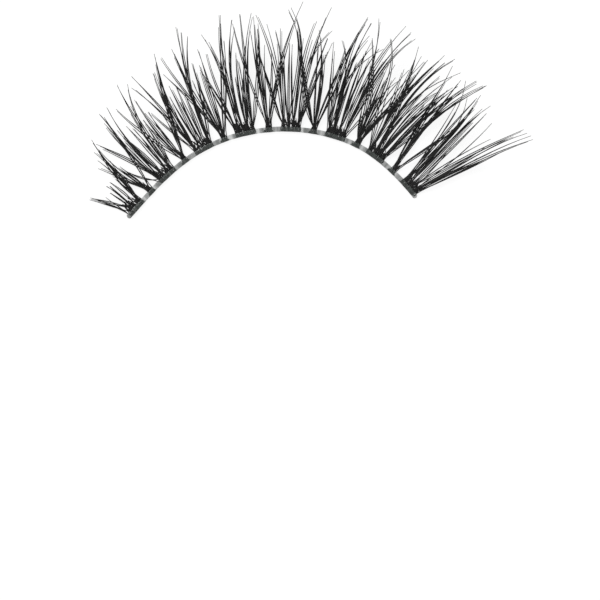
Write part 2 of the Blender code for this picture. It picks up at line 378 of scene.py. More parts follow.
def vector_sum(tree, first, second):
    node = tree.nodes.new("ShaderNodeVectorMath")
    node.operation = "ADD"
    feed(tree, node.inputs[0], first)
    feed(tree, node.inputs[1], second)
    return node.outputs["Vector"]


def scaled(tree, vector, factor):
    node = tree.nodes.new("ShaderNodeVectorMath")
    node.operation = "SCALE"
    feed(tree, node.inputs[0], vector)
    feed(tree, node.inputs["Scale"], factor)
    return node.outputs["Vector"]


print("columns of a spike:", CHART_COLUMNS)

# %% [markdown]
# ### The hairs of a spike
#
# A spike of real lashes is narrow where it is knotted in, widest a third of the way out, and
# then draws together. Its middle hairs reach the tip and its outer ones end sooner, so the tip
# fades instead of stopping. Every copy therefore gets a side step, a rise, its own length, and
# a drift that only tells near the tip. The knot number sets where a hair passes through the
# neck, independent of its side step, so hairs cross there and the neck looks bound.

# %% Spread of the hairs
HAIR_SPACING = 0.150 * MM
SPACING_JITTER = 0.35
SHORTEST = 0.30
LEAST_SHORT = 0.25
TIP_JITTER = 0.06
DRIFT = 0.016
RISE = 0.10 * MM


def copy_hairs(tree, geometry, seed):
    """One point for each hair, with the small differences between hairs stored on it."""
    copies = tree.nodes.new("GeometryNodeDuplicateElements")
    copies.domain = "POINT"
    feed(tree, copies.inputs["Geometry"], geometry)
    feed(tree, copies.inputs["Amount"], attribute(tree, "hairs", "INT"))
    points = copies.outputs["Geometry"]
    middle = maths(tree, "MULTIPLY", maths(tree, "SUBTRACT", attribute(tree, "hairs", "INT"), 1.0), 0.5)
    order = maths(tree, "SUBTRACT", copies.outputs["Duplicate Index"], middle)
    jitter = chance(tree, -SPACING_JITTER, SPACING_JITTER, seed, 1)
    side = maths(tree, "MULTIPLY", maths(tree, "ADD", order, jitter), HAIR_SPACING)
    points = store(tree, points, "side", side)
    points = store(tree, points, "rise", chance(tree, -RISE, RISE, seed, 2))
    points = store(tree, points, "knot", chance(tree, -1.0, 1.0, seed, 3))
    # The middle hair, or the middle two, count as 0 and so reach the tip.
    outer = maths(tree, "MAXIMUM", maths(tree, "SUBTRACT", maths(tree, "ABSOLUTE", order), 0.5), 0.0)
    outer = maths(tree, "MINIMUM", outer, 1.0)
    early = maths(tree, "MULTIPLY", outer, chance(tree, LEAST_SHORT * SHORTEST, SHORTEST, seed, 4))
    points = store(tree, points, "early", maths(tree, "ADD", early, chance(tree, 0.0, TIP_JITTER, seed, 7)))
    points = store(tree, points, "drift", chance(tree, -DRIFT, DRIFT, seed, 5))
    return store(tree, points, "shade", chance(tree, 0.0, 1.0, seed, 6))


print("hairs of a spike lie apart by, in mm:", round(HAIR_SPACING / MM, 3))

# %% [markdown]
# ### Where a hair runs
#
# The share runs from 0 at the root to 1 at the tip. The place along the band is a straight lean
# plus a bow, strongest halfway, and a hook, strongest in the outer third. Both are products of
# the share and what is left of it, scaled so that their peak is 1: a bow then says in the chart
# how far it pushes the spike aside. The distance out grows evenly.

# %% Path of a hair
LONGEST_REACH = 13.2 * MM
HUMP_PEAK = 4.0
HOOK_PEAK = 6.75


def hair_share(tree):
    """The share of the spike's length at each point of a hair. Early hairs stop short of 1."""
    node = tree.nodes.new("GeometryNodeSplineParameter")
    whole = maths(tree, "SUBTRACT", 1.0, attribute(tree, "early"))
    return maths(tree, "MULTIPLY", node.outputs["Factor"], whole)


def hair_along(tree, share):
    """How far along the band from the cluster's middle, as a share of the pitch."""
    root = attribute(tree, "root")
    lean = maths(tree, "MULTIPLY", maths(tree, "SUBTRACT", attribute(tree, "tip"), root), share)
    rest = maths(tree, "SUBTRACT", 1.0, share)
    hump = maths(tree, "MULTIPLY", maths(tree, "MULTIPLY", share, rest), HUMP_PEAK)
    bow = maths(tree, "MULTIPLY", attribute(tree, "bow"), hump)
    late = maths(tree, "MULTIPLY", maths(tree, "MULTIPLY", hump, share), HOOK_PEAK / HUMP_PEAK)
    hook = maths(tree, "MULTIPLY", attribute(tree, "hook"), late)
    drift = maths(tree, "MULTIPLY", attribute(tree, "drift"), maths(tree, "MULTIPLY", share, share))
    bends = maths(tree, "ADD", maths(tree, "ADD", bow, hook), drift)
    return maths(tree, "ADD", maths(tree, "ADD", root, lean), bends)


def hair_out(tree, share):
    """How far out from the band's middle line, in metres."""
    start = attribute(tree, "start")
    reach = maths(tree, "MULTIPLY", attribute(tree, "reach"), LONGEST_REACH)
    return maths(tree, "ADD", start, maths(tree, "MULTIPLY", maths(tree, "SUBTRACT", reach, start), share))


print("longest reach in mm:", round(LONGEST_REACH / MM, 2))

# %% [markdown]
# ### How a bundle opens and closes
#
# The hairs leave the band through a waist, open within two millimetres and gather again at the
# tip. The step to the side is level and square to each hair's own run. A step along the band
# would squeeze the spikes that lean over far, like letters in a slanted script.

# %% Width of a bundle
NECK_HALF = 0.15 * MM
NECK_END = 1.7 * MM
TRUMPET_HALF = 0.17 * MM
TRUMPET_END = 0.75 * MM
OPEN_FROM = 0.30 * MM
OPEN_FULL = 2.40 * MM
NECK_OPEN = 0.15
GATHER_FROM = 0.45
TIP_GATHER = 0.20


def bundle_width(tree, share, out):
    """How far the hairs have opened from the spike's own line: 1 where it is widest."""
    opened = ease(tree, out, OPEN_FROM, OPEN_FULL, NECK_OPEN, 1.0)
    gathered = ease(tree, share, GATHER_FROM, 1.0, 1.0, TIP_GATHER)
    return maths(tree, "MULTIPLY", opened, gathered)


def neck_offset(tree, out):
    """The side step in the neck: a narrow waist, and a trumpet where it meets the band."""
    waist = ease(tree, out, 0.0, NECK_END, NECK_HALF, 0.0)
    trumpet = ease(tree, out, 0.0, TRUMPET_END, TRUMPET_HALF, 0.0)
    return maths(tree, "MULTIPLY", attribute(tree, "knot"), maths(tree, "ADD", waist, trumpet))


def side_step(tree, share, out):
    """The step from the spike's line to the hair's own, level and square to the hair's run."""
    upright = maths(tree, "SUBTRACT", 1.0, attribute(tree, "lie"))
    step = maths(tree, "MULTIPLY", attribute(tree, "side"), bundle_width(tree, share, out))
    step = maths(tree, "ADD", step, maths(tree, "MULTIPLY", neck_offset(tree, out), upright))
    tangent = tree.nodes.new("GeometryNodeInputTangent")
    tangent_x, tangent_y, _ = parts_of(tree, tangent.outputs["Tangent"])
    level = tree.nodes.new("ShaderNodeVectorMath")
    level.operation = "NORMALIZE"
    feed(tree, level.inputs[0], vector_of(tree, tangent_y, maths(tree, "MULTIPLY", tangent_x, -1.0), 0.0))
    return scaled(tree, level.outputs["Vector"], step)


print("widest waist in mm:", round(2 * (NECK_HALF + TRUMPET_HALF) / MM, 2))

# %% [markdown]
# ### Height and place
#
# From above, the curl can't be seen, but from every other side it is what makes a lash a lash.
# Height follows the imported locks: level in the band, then one arc that all hairs share, and hairs
# that lean towards the outer corner pass over those that lean back. The last helper bends the
# whole chart round the eye, by asking the guide curve where each point of a hair belongs.

# %% Height of a hair
CURL_START = 3.5 * MM
TIP_LIFT = math.radians(60.0)
CURL_RADIUS = (LONGEST_REACH - CURL_START) / math.sin(TIP_LIFT)
LEAN_LIFT = 0.80 * MM
LOWEST_LEAN = -0.55
LIFT_FROM = 0.10 * MM
LIFT_FULL = 2.20 * MM
FOOT_MIDDLE = 0.25 * MM
FOOT_RAISE = 0.10 * MM
FREE_HEIGHT = 0.10 * MM


def hair_height(tree, out):
    """The height of a hair's line over the surface that the strip lies on."""
    past = maths(tree, "MAXIMUM", maths(tree, "SUBTRACT", out, CURL_START), 0.0)
    fall = maths(tree, "SUBTRACT", CURL_RADIUS**2, maths(tree, "MULTIPLY", past, past))
    curl = maths(tree, "SUBTRACT", CURL_RADIUS, maths(tree, "SQRT", fall))
    lean = maths(tree, "SUBTRACT", attribute(tree, "tip"), attribute(tree, "root"))
    above = maths(tree, "MAXIMUM", maths(tree, "SUBTRACT", lean, LOWEST_LEAN), 0.0)
    lift = maths(tree, "MULTIPLY", above, LEAN_LIFT)
    free = ease(tree, out, LIFT_FROM, LIFT_FULL, 0.0, 1.0)
    rise = maths(tree, "ADD", maths(tree, "ADD", curl, lift), FREE_HEIGHT - FOOT_MIDDLE)
    laid = maths(tree, "MULTIPLY", attribute(tree, "lie"), FOOT_RAISE)
    return maths(tree, "ADD", maths(tree, "ADD", laid, FOOT_MIDDLE), maths(tree, "MULTIPLY", rise, free))


def on_guide(tree, guide_curve, along, out, height):
    """Turns a place along, out and up into a point, by sampling the guide curve."""
    sample = tree.nodes.new("GeometryNodeSampleCurve")
    sample.mode = "LENGTH"
    sample.use_all_curves = True
    feed(tree, sample.inputs["Curves"], guide_curve)
    feed(tree, sample.inputs["Length"], maths(tree, "SUBTRACT", along, GUIDE_START))
    tangent_x, tangent_y, _ = parts_of(tree, sample.outputs["Tangent"])
    outward = vector_of(tree, maths(tree, "MULTIPLY", tangent_y, -1.0), tangent_x, 0.0)
    place = vector_sum(tree, sample.outputs["Position"], scaled(tree, outward, out))
    return vector_sum(tree, place, vector_of(tree, 0.0, 0.0, height))


print("radius of the curl in mm:", round(CURL_RADIUS / MM, 2))

# %% [markdown]
# ### The finished tree
#
# The last nodes set the thickness, a little less in the crowded neck, full along the middle and
# then running out to a fine point, and sweep a four-sided profile along each hair. A rounder
# profile would only add faces: a hair is a tenth of a millimetre wide.

# %% Lash tree
HAIR_RADIUS = 0.050 * MM
TIP_RADIUS = 0.023 * MM
ROOT_SHARE = 0.80
ROOT_FULL = 0.35
TAPER_FROM = 0.60
HAIR_STEPS = 11
HAIR_SIDES = 4
NECK_RISE = 0.6


def straight_hairs(tree, points):
    """A straight line on each point, cut into steps that can be bent."""
    line = tree.nodes.new("GeometryNodeCurvePrimitiveLine")
    steps = tree.nodes.new("GeometryNodeResampleCurve")
    feed(tree, steps.inputs["Curve"], line.outputs["Curve"])
    steps.inputs["Count"].default_value = HAIR_STEPS + 1
    placed = tree.nodes.new("GeometryNodeInstanceOnPoints")
    feed(tree, placed.inputs["Points"], points)
    feed(tree, placed.inputs["Instance"], steps.outputs["Curve"])
    hairs = tree.nodes.new("GeometryNodeRealizeInstances")
    feed(tree, hairs.inputs[0], placed.outputs["Instances"])
    return hairs.outputs[0]


def swept_hairs(tree, lines, hair_radius):
    """The lines as thin closed rods that run out to a point."""
    factor = tree.nodes.new("GeometryNodeSplineParameter").outputs["Factor"]
    thick = ease(tree, factor, TAPER_FROM, 1.0, hair_radius, TIP_RADIUS)
    thick = maths(tree, "MULTIPLY", thick, ease(tree, factor, 0.0, ROOT_FULL, ROOT_SHARE, 1.0))
    round_line = tree.nodes.new("GeometryNodeSetCurveRadius")
    feed(tree, round_line.inputs["Curve"], lines)
    feed(tree, round_line.inputs["Radius"], thick)
    profile = tree.nodes.new("GeometryNodeCurvePrimitiveCircle")
    profile.inputs["Resolution"].default_value = HAIR_SIDES
    profile.inputs["Radius"].default_value = 1.0
    radius = tree.nodes.new("GeometryNodeInputRadius")
    swept = tree.nodes.new("GeometryNodeCurveToMesh")
    feed(tree, swept.inputs["Curve"], round_line.outputs["Curve"])
    feed(tree, swept.inputs["Profile Curve"], profile.outputs["Curve"])
    feed(tree, swept.inputs["Scale"], radius.outputs["Radius"])
    swept.inputs["Fill Caps"].default_value = True
    return swept.outputs["Mesh"]


def end_tree(tree, mesh, material):
    """Ends a tree: the mesh made smooth, real and painted."""
    smooth = tree.nodes.new("GeometryNodeSetShadeSmooth")
    feed(tree, smooth.inputs["Geometry"], mesh)
    solid = tree.nodes.new("GeometryNodeRealizeInstances")
    feed(tree, solid.inputs[0], smooth.outputs["Geometry"])
    painted = tree.nodes.new("GeometryNodeSetMaterial")
    feed(tree, painted.inputs["Geometry"], solid.outputs[0])
    feed(tree, painted.inputs["Material"], material)
    result = tree.nodes.new("NodeGroupOutput")
    feed(tree, result.inputs[0], painted.outputs["Geometry"])


def grow_tree():
    tree = bpy.data.node_groups.new("grow_lashes", "GeometryNodeTree")
    tree.interface.new_socket("Spikes", in_out="INPUT", socket_type="NodeSocketGeometry")
    tree.interface.new_socket("Guide", in_out="INPUT", socket_type="NodeSocketObject")
    numbers_in(tree, "Middle", 0.0)
    numbers_in(tree, "Pitch", TUFT_PITCH)
    numbers_in(tree, "Hair radius", HAIR_RADIUS)
    numbers_in(tree, "Seed", 1.0)
    tree.interface.new_socket("Fibre", in_out="INPUT", socket_type="NodeSocketMaterial")
    tree.interface.new_socket("Lashes", in_out="OUTPUT", socket_type="NodeSocketGeometry")
    given = tree.nodes.new("NodeGroupInput").outputs
    guide_info = tree.nodes.new("GeometryNodeObjectInfo")
    feed(tree, guide_info.inputs["Object"], given["Guide"])

    hairs = straight_hairs(tree, copy_hairs(tree, given["Spikes"], given["Seed"]))
    share = hair_share(tree)
    out = hair_out(tree, share)
    along = maths(tree, "MULTIPLY", hair_along(tree, share), given["Pitch"])
    along = maths(tree, "ADD", given["Middle"], along)
    opened = ease(tree, out, OPEN_FROM, OPEN_FULL, NECK_RISE, 1.0)
    rise = maths(tree, "MULTIPLY", attribute(tree, "rise"), opened)
    height = maths(tree, "ADD", hair_height(tree, out), rise)
    place = on_guide(tree, guide_info.outputs["Geometry"], along, out, height)
    bent = tree.nodes.new("GeometryNodeSetPosition")
    feed(tree, bent.inputs["Geometry"], hairs)
    feed(tree, bent.inputs["Position"], place)
    spread = tree.nodes.new("GeometryNodeSetPosition")
    feed(tree, spread.inputs["Geometry"], bent.outputs["Geometry"])
    feed(tree, spread.inputs["Offset"], side_step(tree, share, out))
    end_tree(tree, swept_hairs(tree, spread.outputs["Geometry"], given["Hair radius"]), given["Fibre"])
    return tree


lash_tree = grow_tree()
print("nodes in the tree:", len(lash_tree.nodes))

# %% [markdown]
# ## The chart of spikes
#
# Where each spike ends is what gives this strip its look, and no rule gives it: the maker sets
# tufts by hand. So the spikes are charted, one row each. neck is where it grows from, 1 nearest
# the inner corner. tip is where its tip lies along the band from the cluster's middle, as a
# share of the pitch, and reach how far out, as a share of the longest reach. bow and hook bend
# it sideways, as shares of the pitch, halfway out and in the outer third. hairs is how many
# hairs it gathers.

# %% Chart
TUFTS_CHART = (
    (
        (1, -0.540, 0.315, 0.020, 0.000, 2),
        (2, -0.500, 0.315, 0.000, 0.000, 2),
        (1, -0.440, 0.260, -0.010, 0.000, 1),
        (1, -0.270, 0.230, -0.030, 0.000, 1),
        (2, -0.140, 0.230, 0.000, 0.000, 2),
        (2, -0.100, 0.295, 0.030, 0.000, 2),
        (2, -0.040, 0.265, 0.000, 0.000, 2),
        (3, 0.020, 0.285, 0.020, 0.000, 2),
        (4, 0.210, 0.460, 0.040, 0.000, 2),
        (4, 0.150, 0.270, 0.000, 0.000, 2),
        (4, 0.445, 0.610, -0.060, 0.000, 3),
        (4, 0.290, 0.525, 0.050, 0.000, 2),
        (4, 0.370, 0.400, 0.000, 0.000, 2),
    ),
    (
        (1, -0.590, 0.285, -0.075, 0.000, 1),
        (1, -0.540, 0.220, -0.080, 0.000, 1),
        (1, -0.570, 0.550, 0.040, 0.000, 2),
        (1, -0.540, 0.490, 0.020, 0.000, 2),
        (1, -0.205, 0.610, -0.080, 0.000, 2),
        (1, -0.110, 0.670, -0.080, 0.000, 2),
        (1, -0.175, 0.430, 0.000, 0.000, 3),
        (2, 0.020, 0.690, -0.100, 0.000, 2),
        (2, -0.125, 0.530, -0.030, 0.000, 3),
        (2, -0.110, 0.400, 0.020, 0.000, 2),
        (3, 0.030, 0.490, 0.020, 0.000, 3),
        (3, 0.060, 0.360, 0.020, 0.000, 2),
        (3, 0.110, 0.450, 0.020, 0.000, 2),
        (4, 0.385, 0.785, -0.045, 0.000, 4),
        (4, 0.490, 0.730, -0.100, 0.000, 2),
        (4, 0.340, 0.420, 0.040, 0.000, 3),
    ),
    (
        (1, -0.490, 0.460, -0.035, 0.000, 2),
        (1, -0.485, 0.690, 0.020, 0.000, 2),
        (1, -0.390, 0.770, 0.000, 0.000, 2),
        (1, -0.105, 0.710, -0.070, 0.000, 3),
        (1, 0.030, 0.815, -0.100, 0.000, 3),
        (1, -0.120, 0.420, -0.020, 0.000, 3),
        (2, -0.085, 0.500, -0.020, 0.000, 2),
        (2, 0.000, 0.560, 0.010, 0.000, 3),
        (3, 0.085, 0.520, -0.020, 0.000, 2),
        (3, 0.040, 0.400, -0.030, 0.000, 2),
        (3, 0.150, 0.460, 0.010, 0.000, 3),
        (4, 0.265, 0.820, 0.030, 0.000, 3),
        (4, 0.435, 0.930, -0.020, 0.000, 2),
        (4, 0.540, 0.865, -0.080, 0.000, 2),
        (4, 0.455, 0.880, -0.050, 0.000, 2),
        (4, 0.450, 0.640, 0.060, 0.000, 3),
    ),
    (
        (1, -0.475, 0.565, -0.030, 0.000, 4),
        (1, -0.315, 0.660, -0.070, 0.000, 2),
        (1, -0.310, 0.805, 0.075, 0.000, 2),
        (1, -0.235, 0.740, 0.060, 0.000, 2),
        (2, 0.010, 0.925, -0.100, 0.000, 3),
        (2, 0.170, 0.785, -0.115, 0.000, 2),
        (2, 0.180, 0.905, -0.100, 0.000, 2),
        (3, 0.110, 0.640, -0.030, 0.000, 3),
        (3, 0.020, 0.450, -0.010, 0.000, 2),
        (3, 0.130, 0.560, 0.030, 0.000, 2),
        (4, 0.440, 0.900, -0.085, 0.000, 4),
        (4, 0.275, 0.930, 0.010, 0.000, 2),
        (3, 0.250, 0.620, -0.020, 0.000, 4),
        (4, 0.485, 0.810, 0.070, 0.020, 3),
    ),
    (
        (1, -0.530, 0.600, -0.040, 0.000, 3),
        (1, -0.530, 0.890, 0.060, 0.000, 2),
        (1, -0.405, 0.810, 0.040, 0.000, 1),
        (1, -0.180, 0.770, -0.020, 0.000, 2),
        (1, -0.270, 0.765, 0.060, 0.000, 2),
        (1, -0.250, 0.680, 0.000, 0.000, 1),
        (2, -0.120, 0.925, 0.050, 0.130, 2),
        (3, -0.065, 0.920, 0.000, 0.130, 1),
        (3, -0.020, 0.880, 0.000, 0.110, 1),
        (3, 0.015, 0.830, 0.000, 0.100, 1),
        (2, -0.060, 0.680, -0.010, 0.000, 2),
        (3, -0.020, 0.660, -0.030, 0.000, 2),
        (2, -0.150, 0.600, -0.030, 0.000, 2),
        (3, 0.300, 0.830, -0.030, -0.020, 2),
        (3, 0.150, 0.700, 0.010, 0.000, 1),
        (4, 0.270, 0.700, -0.040, 0.000, 1),
        (4, 0.485, 0.985, -0.060, 0.000, 3),
        (4, 0.580, 0.805, -0.075, -0.090, 2),
        (4, 0.575, 0.715, 0.020, 0.000, 3),
        (4, 0.500, 0.720, 0.000, 0.000, 2),
    ),
    (
        (1, -0.410, 0.715, -0.040, 0.000, 3),
        (1, -0.310, 0.730, 0.070, 0.060, 2),
        (1, -0.240, 0.600, 0.000, 0.000, 1),
        (1, -0.050, 0.900, -0.100, 0.000, 3),
        (2, -0.090, 0.840, -0.060, 0.000, 1),
        (2, -0.120, 0.620, -0.030, 0.000, 3),
        (2, -0.020, 0.600, -0.010, 0.000, 2),
        (1, 0.310, 0.750, -0.210, 0.000, 1),
        (2, 0.180, 0.775, -0.150, 0.000, 1),
        (2, 0.070, 0.815, -0.120, -0.030, 2),
        (2, 0.035, 0.940, -0.090, 0.000, 2),
        (2, 0.100, 0.700, -0.090, 0.000, 1),
        (3, 0.060, 0.700, 0.010, 0.000, 2),
        (3, 0.120, 0.800, -0.060, 0.000, 1),
        (3, 0.160, 0.660, 0.000, 0.000, 2),
        (3, 0.220, 0.740, -0.060, 0.000, 2),
        (3, 0.300, 0.640, -0.030, 0.000, 1),
        (4, 0.095, 0.965, 0.115, 0.000, 2),
        (4, 0.430, 0.990, -0.060, 0.000, 3),
        (4, 0.515, 0.940, -0.030, -0.020, 2),
        (4, 0.600, 0.935, 0.040, -0.090, 2),
        (4, 0.460, 0.450, 0.090, 0.000, 2),
        (4, 0.360, 0.700, -0.020, 0.000, 2),
        (4, 0.460, 0.800, -0.020, 0.000, 1),
        (4, 0.420, 0.660, 0.050, 0.000, 1),
    ),
    (
        (1, -0.500, 0.560, -0.080, 0.000, 2),
        (1, -0.450, 0.560, -0.030, 0.000, 1),
        (1, -0.380, 0.680, 0.000, 0.000, 2),
        (3, -0.365, 0.925, -0.060, 0.030, 3),
        (1, -0.300, 0.780, -0.020, 0.000, 1),
        (1, -0.260, 0.830, -0.020, 0.000, 1),
        (1, -0.220, 0.700, -0.020, 0.000, 2),
        (1, -0.190, 0.840, -0.030, 0.000, 2),
        (1, -0.045, 0.915, -0.080, 0.000, 3),
        (1, 0.275, 0.920, -0.080, -0.050, 1),
        (2, 0.080, 0.960, -0.090, -0.030, 2),
        (2, 0.030, 0.620, -0.020, 0.000, 2),
        (2, 0.000, 0.880, -0.080, 0.000, 2),
        (2, -0.050, 0.700, -0.060, 0.000, 1),
        (2, 0.060, 0.780, -0.060, 0.000, 2),
        (2, 0.130, 0.660, -0.080, 0.000, 1),
        (3, 0.100, 0.620, -0.040, 0.000, 1),
        (3, 0.170, 0.700, -0.060, 0.000, 2),
        (3, 0.200, 0.840, -0.090, 0.000, 1),
        (3, 0.240, 0.660, -0.040, 0.000, 2),
        (3, 0.300, 0.780, -0.060, 0.000, 2),
        (3, 0.130, 0.550, 0.020, 0.000, 2),
        (4, 0.270, 0.720, 0.000, 0.000, 2),
        (4, 0.340, 0.820, -0.050, 0.000, 2),
        (4, 0.380, 0.740, -0.030, 0.000, 2),
        (4, 0.440, 0.860, -0.050, 0.000, 1),
        (4, 0.655, 0.980, -0.030, 0.000, 2),
        (4, 0.530, 0.955, -0.055, 0.000, 1),
        (4, 0.470, 0.660, 0.030, 0.000, 1),
    ),
    (
        (1, -0.670, 0.900, 0.000, 0.120, 1),
        (1, -0.480, 0.810, 0.060, 0.100, 1),
        (1, -0.500, 0.720, 0.000, 0.000, 1),
        (1, -0.430, 0.660, 0.020, 0.000, 1),
        (1, -0.345, 0.870, -0.025, 0.000, 2),
        (1, -0.320, 0.880, 0.020, 0.020, 3),
        (1, -0.290, 0.840, 0.040, 0.020, 2),
        (2, -0.250, 0.780, -0.030, 0.000, 3),
        (2, -0.200, 0.600, -0.030, 0.000, 2),
        (2, -0.135, 0.800, -0.030, 0.000, 2),
        (2, -0.110, 0.890, -0.030, -0.040, 1),
        (2, -0.150, 0.860, -0.010, -0.030, 1),
        (3, -0.110, 0.720, -0.010, 0.000, 2),
        (3, -0.055, 0.820, 0.000, 0.000, 2),
        (4, -0.040, 0.450, 0.020, 0.000, 1),
        (4, 0.110, 0.815, 0.070, -0.010, 1),
        (3, 0.295, 0.730, -0.030, 0.000, 1),
        (3, 0.475, 0.970, 0.000, 0.000, 2),
        (4, 0.330, 0.640, 0.040, 0.000, 1),
        (4, 0.400, 0.560, 0.050, 0.000, 1),
        (4, 0.535, 0.985, 0.045, -0.065, 3),
        (4, 0.605, 0.985, 0.045, -0.040, 1),
        (5, 0.655, 0.980, 0.030, -0.030, 2),
        (4, 0.470, 0.700, 0.030, 0.000, 1),
        (5, 0.520, 0.640, -0.010, 0.000, 1),
        (5, 0.540, 0.800, 0.010, 0.000, 1),
        (5, 0.500, 0.660, 0.035, 0.000, 1),
        (5, 0.545, 0.735, 0.050, 0.000, 1),
    ),
)
FANS_CHART = (
    (
        (1, -0.415, 0.425, 0.000, 0.000, 2),
        (1, -0.330, 0.300, 0.000, 0.000, 2),
        (1, -0.060, 0.600, -0.150, 0.000, 3),
        (1, -0.110, 0.320, -0.020, 0.000, 3),
        (1, -0.065, 0.305, -0.010, 0.000, 2),
        (1, 0.300, 0.615, 0.075, 0.000, 2),
        (1, 0.365, 0.700, 0.070, 0.000, 2),
    ),
    (
        (1, -0.390, 0.655, -0.090, 0.000, 2),
        (1, -0.150, 0.450, -0.060, 0.000, 2),
        (1, -0.040, 0.610, -0.060, 0.000, 4),
        (1, 0.000, 0.490, -0.030, 0.000, 2),
        (1, 0.530, 0.820, 0.030, 0.000, 3),
        (1, 0.395, 0.710, 0.050, 0.000, 2),
        (1, 0.170, 0.400, 0.030, 0.000, 2),
    ),
    (
        (1, -0.525, 0.660, -0.020, 0.000, 2),
        (1, -0.435, 0.800, -0.090, 0.000, 2),
        (1, -0.240, 0.740, -0.080, 0.000, 2),
        (1, -0.150, 0.520, -0.050, 0.000, 3),
        (1, -0.050, 0.630, -0.060, 0.000, 2),
        (1, 0.030, 0.630, -0.010, 0.000, 3),
        (1, 0.085, 0.730, 0.020, 0.000, 2),
        (1, 0.505, 0.930, 0.055, 0.000, 3),
        (1, 0.470, 0.720, 0.080, 0.000, 2),
    ),
    (
        (1, -0.365, 0.845, -0.085, 0.000, 2),
        (1, -0.120, 0.765, -0.030, 0.000, 2),
        (1, -0.050, 0.895, -0.040, 0.000, 3),
        (1, -0.020, 0.750, -0.020, 0.000, 2),
        (1, 0.080, 0.650, -0.030, 0.000, 1),
        (1, 0.150, 0.610, 0.040, 0.000, 2),
        (1, 0.610, 0.965, 0.010, -0.020, 3),
        (1, 0.270, 0.470, 0.020, 0.000, 2),
    ),
    (
        (1, -0.460, 0.810, -0.080, 0.000, 3),
        (1, -0.370, 0.600, -0.100, 0.000, 3),
        (1, -0.140, 0.700, -0.020, 0.000, 2),
        (1, -0.150, 0.780, 0.065, 0.000, 3),
        (1, -0.030, 0.620, 0.020, 0.000, 2),
        (1, 0.010, 0.450, 0.010, 0.000, 2),
        (1, 0.455, 0.935, 0.000, 0.000, 2),
        (1, 0.270, 0.670, 0.055, 0.000, 2),
        (1, 0.340, 0.600, 0.060, 0.000, 2),
    ),
    (
        (1, -0.430, 0.810, 0.035, 0.020, 4),
        (1, -0.320, 0.620, 0.000, 0.000, 1),
        (1, -0.200, 0.340, -0.030, 0.000, 2),
        (1, -0.080, 0.660, -0.030, 0.000, 3),
        (1, -0.235, 0.885, 0.100, 0.060, 2),
        (1, -0.030, 0.550, 0.000, 0.000, 2),
        (1, 0.000, 0.420, 0.000, 0.000, 2),
        (1, 0.020, 0.700, -0.040, 0.000, 1),
        (1, 0.100, 0.620, -0.030, 0.000, 1),
        (1, 0.190, 0.620, -0.130, 0.000, 1),
        (1, 0.200, 0.720, -0.030, 0.000, 1),
        (1, 0.300, 0.800, 0.000, 0.000, 1),
        (1, 0.460, 0.925, 0.050, 0.000, 3),
        (1, 0.360, 0.660, 0.030, 0.000, 1),
        (1, 0.240, 0.500, 0.030, 0.000, 3),
    ),
    (
        (1, -0.400, 0.905, -0.090, 0.040, 3),
        (1, -0.270, 0.620, -0.050, 0.000, 2),
        (1, -0.240, 0.760, -0.050, 0.000, 1),
        (1, -0.160, 0.420, -0.030, 0.000, 2),
        (1, -0.180, 0.860, -0.030, 0.000, 2),
        (1, -0.110, 0.740, -0.060, 0.000, 1),
        (1, 0.155, 0.980, -0.180, 0.000, 2),
        (1, 0.035, 0.980, -0.130, -0.030, 2),
        (1, -0.030, 0.660, -0.100, 0.000, 2),
        (1, 0.240, 0.550, 0.030, 0.000, 2),
        (1, 0.300, 0.620, 0.050, 0.000, 2),
    ),
)

print("spikes:", sum(len(rows) for rows in TUFTS_CHART + FANS_CHART))

# %% [markdown]
# ## The clusters
#
# A tuft has four necks close together, the outermost tuft a fifth for its swept wing, and a fan
# has one. Besides its charted spikes, each neck has a few short hairs that lean across to its
# neighbours, and behind them lies the foot: the folded hair ends, which run along in the
# band's inner half. Short hairs and foot follow a rule, so they need no rows in the chart.

# %% Rows of a cluster
TUFT_NECKS = (-0.160, -0.045, 0.055, 0.160)
LAST_TUFT_NECKS = (-0.140, -0.030, 0.045, 0.120, 0.185)
FAN_NECKS = (0.010,)
ROOT_START = -0.10 * MM
FOOT_OUT = -0.11 * MM
EDGE_OUT = -0.19 * MM

# Where each row of the foot starts and ends, as shares of half the foot, how far out it lies and
# its hairs. The last two run on along the band's inner edge.
FOOT_CHART = (
    (0.15, -1.00, FOOT_OUT, 9),
    (-0.15, 1.00, FOOT_OUT, 9),
    (-0.90, 0.90, FOOT_OUT, 9),
    (0.30, -1.15, EDGE_OUT, 3),
    (-0.30, 1.15, EDGE_OUT, 3),
)
SHORT_LEANS = (-0.13, -0.06, 0.05, 0.12)
SHORT_REACH = 0.10
SHORT_HAIRS = 2
SHORT_STEP = 0.12


def chart_rows(rows, necks):
    """The charted spikes, as rows of the tree's columns and the number of hairs."""
    for neck, tip, reach, bow, hook, hairs in rows:
        yield (necks[neck - 1], tip, ROOT_START, reach, bow, hook, 0.0), hairs


def short_rows(necks):
    """Short hairs that cross from each neck towards its neighbours, never past the outermost."""
    for root in necks:
        for number, lean in enumerate(SHORT_LEANS):
            tip = min(max(root + lean, min(necks)), max(necks))
            reach = SHORT_REACH * (1.0 - SHORT_STEP * number)
            yield (root, tip, ROOT_START, reach, 0.0, 0.0, 0.0), SHORT_HAIRS


def foot_rows(foot):
    """The hair ends that lie along the foot, as rows from its middle that thin out to its sides."""
    half = foot / 2 / TUFT_PITCH
    for start, end, out, hairs in FOOT_CHART:
        yield (start * half, end * half, out, out / LONGEST_REACH, 0.0, 0.0, 1.0), hairs


short_counts = [len(list(short_rows(necks))) for necks in (TUFT_NECKS, FAN_NECKS)]
print("rows of short hairs for a tuft and for a fan:", short_counts)
